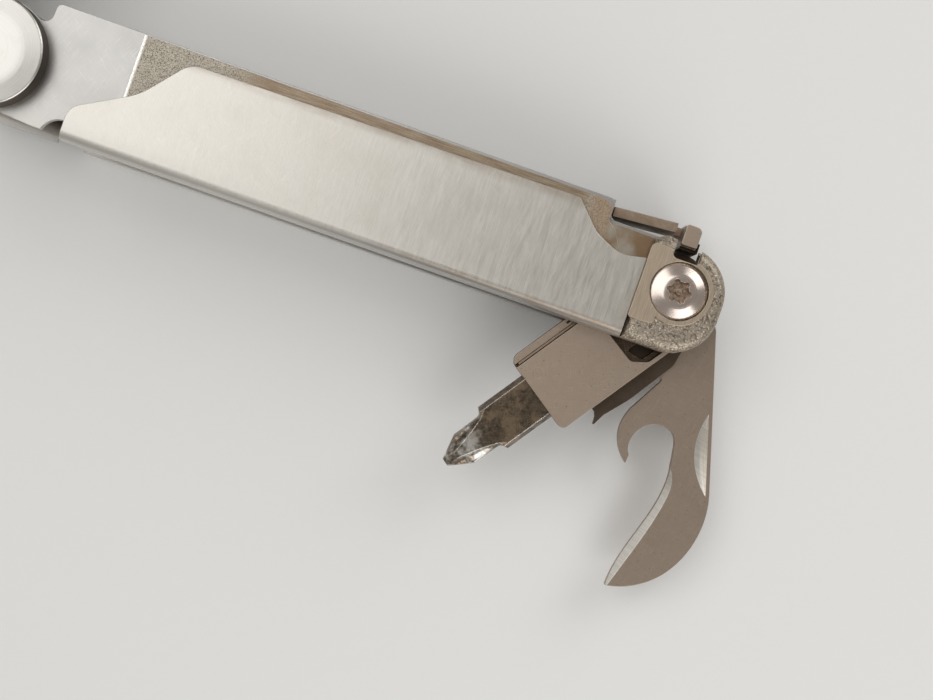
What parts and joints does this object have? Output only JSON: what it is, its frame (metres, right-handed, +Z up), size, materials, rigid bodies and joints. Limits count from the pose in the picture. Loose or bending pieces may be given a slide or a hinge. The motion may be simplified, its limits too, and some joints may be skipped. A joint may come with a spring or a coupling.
{
  "type": "folding multi tool",
  "caption": "Full-size folding multi tool with needle-nose pliers, outer blades and file in the handles' side pockets, and hooked and screwdriver tools swung out of the channel.",
  "frame": {"origin": "centre of the flat head of handle A's tool pivot post, on the plane the tool lies on", "axes": "+Z up out of that plane, along every hinge; +X along handle A from the plier pivot to the tool end; +Y towards handle A's closed back"},
  "size_m": [0.1726, 0.1557, 0.0186],
  "materials": {
    "folded_sheet": "brushed across the handle, bright rolled edges",
    "cast_bolster": "bead-blasted warm grey cast steel",
    "screw_steel": "polished steel",
    "pivot_cap": "smooth satin domed steel",
    "spring_steel": "satin spring steel",
    "driver_steel": "warm grey satin cast steel",
    "bit_steel": "brown-black patina with worn bright edges",
    "tool_steel": "satin stainless steel",
    "opener_steel": "warm satin with a bright ground edge",
    "diamond_grit": "speckled diamond grit with bright ground ends",
    "blade_steel": "satin stainless blade",
    "forged_jaw": "bead-blasted forged steel",
    "cutter_steel": "ground hard steel"
  },
  "bodies": {
    "handle_a": {"handle_shell_a": "folded_sheet", "screw_side_bolster_a": "cast_bolster", "nut_side_bolster_a": "cast_bolster", "tool_pivot_screw_a": "screw_steel", "tool_pivot_post_a": "screw_steel", "plier_pivot_post_a": "pivot_cap", "plier_pivot_cap_a": "pivot_cap"},
    "lock_lever_a": {"lock_lever_a": "spring_steel"},
    "bit_driver": {"bit_driver_body": "driver_steel", "bit_driver_cover": "driver_steel", "bit_spring": "spring_steel"},
    "cross_point_bit": {"cross_point_bit": "bit_steel"},
    "small_screwdriver": {"small_screwdriver": "tool_steel"},
    "can_opener": {"can_opener": "opener_steel"},
    "diamond_file": {"diamond_file": "diamond_grit"},
    "wood_saw": {"wood_saw": "blade_steel"},
    "jaw_a": {"plier_jaw_a": "forged_jaw", "wire_cutter_a": "cutter_steel", "plier_rivet": "screw_steel"},
    "jaw_b": {"plier_jaw_b": "forged_jaw", "wire_cutter_b": "cutter_steel"},
    "handle_b": {"handle_shell_b": "folded_sheet", "screw_side_bolster_b": "cast_bolster", "nut_side_bolster_b": "cast_bolster", "tool_pivot_screw_b": "screw_steel", "tool_pivot_post_b": "screw_steel", "plier_pivot_post_b": "pivot_cap", "plier_pivot_cap_b": "pivot_cap"},
    "lock_lever_b": {"lock_lever_b": "spring_steel"},
    "awl": {"awl": "tool_steel"},
    "large_screwdriver": {"large_screwdriver": "tool_steel"},
    "medium_screwdriver": {"medium_screwdriver": "tool_steel"},
    "lanyard_ring": {"lanyard_ring": "tool_steel"},
    "clip_point_knife": {"clip_point_knife": "blade_steel"},
    "serrated_knife": {"serrated_knife": "blade_steel"}
  },
  "joints": [
    {"name": "handle_a_fold", "type": "hinge", "parent": "handle_a", "child": "jaw_a", "pos_m": [-0.1005, 0, 0.0093], "axis": [0, 0, 1], "range_deg": [0, 164]},
    {"name": "jaw_swing", "type": "hinge", "parent": "jaw_a", "child": "jaw_b", "pos_m": [-0.11469, 0.00488, 0.0093], "axis": [0, 0, -1], "range_deg": [-26, 19]},
    {"name": "handle_b_fold", "type": "hinge", "parent": "jaw_b", "child": "handle_b", "pos_m": [-0.10955, 0.01898, 0.0093], "axis": [0, 0, 1], "range_deg": [0, 164]},
    {"name": "bit_driver_swing", "type": "hinge", "parent": "handle_a", "child": "bit_driver", "pos_m": [0, 0, 0.0093], "axis": [0, 0, 1], "range_deg": [-55.4, 124.6]},
    {"name": "bit_pull", "type": "slide", "parent": "bit_driver", "child": "cross_point_bit", "axis": [-0.5678, -0.8231, 0], "range_m": [0, 0.03]},
    {"name": "small_screwdriver_swing", "type": "hinge", "parent": "handle_a", "child": "small_screwdriver", "pos_m": [0, 0, 0.0093], "axis": [0, 0, 1], "range_deg": [-58, 122]},
    {"name": "can_opener_swing", "type": "hinge", "parent": "handle_a", "child": "can_opener", "pos_m": [0, 0, 0.0093], "axis": [0, 0, 1], "range_deg": [-107, 73]},
    {"name": "file_swing", "type": "hinge", "parent": "handle_a", "child": "diamond_file", "pos_m": [0, 0, 0.0093], "axis": [0, 0, 1], "range_deg": [-180, 0]},
    {"name": "saw_swing", "type": "hinge", "parent": "handle_a", "child": "wood_saw", "pos_m": [0, 0, 0.0093], "axis": [0, 0, 1], "range_deg": [-180, 0]},
    {"name": "lock_lever_a_lift", "type": "hinge", "parent": "handle_a", "child": "lock_lever_a", "pos_m": [-0.012, 0.0073, 0.0093], "axis": [0, 0, 1], "range_deg": [0, 3], "stiffness_Nm_per_rad": 0.5},
    {"name": "awl_swing", "type": "hinge", "parent": "handle_b", "child": "awl", "pos_m": [-0.0463, 0.09708, 0.0093], "axis": [0, 0, -1], "range_deg": [0, 180]},
    {"name": "large_screwdriver_swing", "type": "hinge", "parent": "handle_b", "child": "large_screwdriver", "pos_m": [-0.0463, 0.09708, 0.0093], "axis": [0, 0, -1], "range_deg": [0, 180]},
    {"name": "medium_screwdriver_swing", "type": "hinge", "parent": "handle_b", "child": "medium_screwdriver", "pos_m": [-0.0463, 0.09708, 0.0093], "axis": [0, 0, -1], "range_deg": [0, 180]},
    {"name": "lanyard_ring_swing", "type": "hinge", "parent": "handle_b", "child": "lanyard_ring", "pos_m": [-0.0463, 0.09708, 0.0093], "axis": [0, 0, -1], "range_deg": [-150, 30]},
    {"name": "clip_point_knife_swing", "type": "hinge", "parent": "handle_b", "child": "clip_point_knife", "pos_m": [-0.0463, 0.09708, 0.0093], "axis": [0, 0, -1], "range_deg": [-180, 0]},
    {"name": "serrated_knife_swing", "type": "hinge", "parent": "handle_b", "child": "serrated_knife", "pos_m": [-0.0463, 0.09708, 0.0093], "axis": [0, 0, -1], "range_deg": [-180, 0]},
    {"name": "lock_lever_b_lift", "type": "hinge", "parent": "handle_b", "child": "lock_lever_b", "pos_m": [-0.04818, 0.08316, 0.0093], "axis": [0, 0, -1], "range_deg": [0, 3], "stiffness_Nm_per_rad": 0.5}
  ]
}
